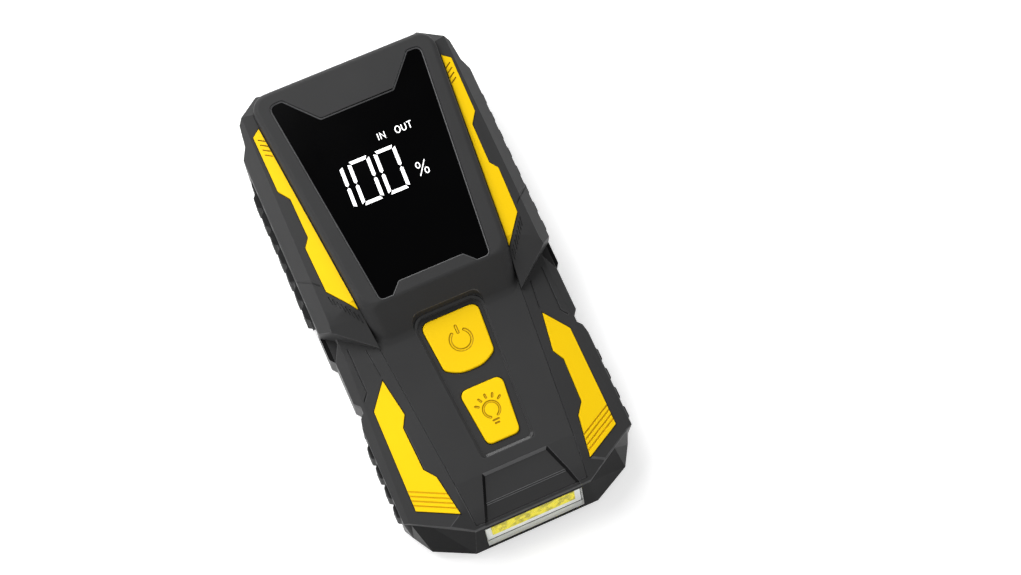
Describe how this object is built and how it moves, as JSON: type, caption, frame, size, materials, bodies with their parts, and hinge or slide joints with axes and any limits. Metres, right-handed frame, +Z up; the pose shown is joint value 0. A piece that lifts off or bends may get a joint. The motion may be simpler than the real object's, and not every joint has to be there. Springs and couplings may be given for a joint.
{
  "type": "jump starter pack",
  "caption": "Portable jump starter pack with a raised screen, two push buttons, an end work light and ports behind a hinged side flap",
  "frame": {"origin": "centre of the bounding box at the height of the feet, on the surface that the pack lies on", "axes": "+X to the right across the pack as the screen is read, +Y towards the screen end, +Z up out of the screen"},
  "size_m": [0.1, 0.194, 0.044],
  "materials": {
    "rear_shell": "black moulded ABS, satin",
    "front_shell": "dark grey moulded ABS, fine spark-eroded texture",
    "panel": "dark grey moulded ABS, soft satin",
    "screen_glass": "black tinted acrylic window, polished",
    "display": "black segment display module",
    "accent": "bright yellow moulded plastic, satin",
    "circuit_board": "green solder mask",
    "component": "black moulded component bodies",
    "capacitor_can": "drawn aluminium cans",
    "screw_steel": "dark zinc-plated steel",
    "pin_steel": "ground steel pin",
    "cell_foil": "aluminium laminate pouch foil",
    "tray": "black moulded tray",
    "foam": "closed-cell foam",
    "copper": "bare copper bar",
    "socket_blue": "blue glass-filled nylon",
    "contact_brass": "gold-flashed brass contacts",
    "usb_steel": "nickel-plated steel shells",
    "usb_insert": "moulded contact carrier",
    "rubber": "black ribbed rubber",
    "lens": "clear polycarbonate window",
    "light_board": "white solder mask on aluminium",
    "phosphor": "yellow phosphor coat"
  },
  "bodies": {
    "housing": {"rear_cover": "rear_shell", "front_cover": "front_shell", "centre_panel": "panel", "display_window": "screen_glass", "display_panel": "display", "display_board": "circuit_board", "upper_strip_left": "accent", "upper_strip_right": "accent", "lower_strip_left": "accent", "lower_strip_right": "accent", "button_switches": "component", "button_board": "circuit_board", "main_board": "circuit_board", "mosfet_bank": "component", "board_capacitors": "capacitor_can", "board_screws": "screw_steel", "battery_tray": "tray", "battery_cells": "cell_foil", "foam_pad": "foam", "bus_bars": "copper", "jump_socket": "socket_blue", "jump_contacts": "contact_brass", "usb_a_shell": "usb_steel", "usb_a_tongue": "usb_insert", "usb_c_shell": "usb_steel", "usb_c_tongue": "component", "port_board": "circuit_board", "port_cover_pin": "pin_steel", "upper_grip_right": "rubber", "lower_grip_left": "rubber", "lower_grip_right": "rubber", "light_lens": "lens", "light_board": "light_board", "phosphor_strip": "phosphor", "case_screws": "screw_steel", "feet": "rubber"},
    "flap": {"port_cover": "rubber"},
    "power_key": {"power_button": "accent"},
    "light_key": {"light_button": "accent"}
  },
  "joints": [
    {"name": "flap_hinge", "type": "hinge", "parent": "housing", "child": "flap", "pos_m": [-0.0463, 0.0692, 0.012], "axis": [0, 0, -1], "range_deg": [0, 100]},
    {"name": "power_press", "type": "slide", "parent": "housing", "child": "power_key", "axis": [0, 0, -1], "range_m": [0, 0.0006], "stiffness_N_per_m": 1500, "springref_m": -0.0006},
    {"name": "light_press", "type": "slide", "parent": "housing", "child": "light_key", "axis": [0, 0, -1], "range_m": [0, 0.0006], "stiffness_N_per_m": 1500, "springref_m": -0.0006}
  ]
}
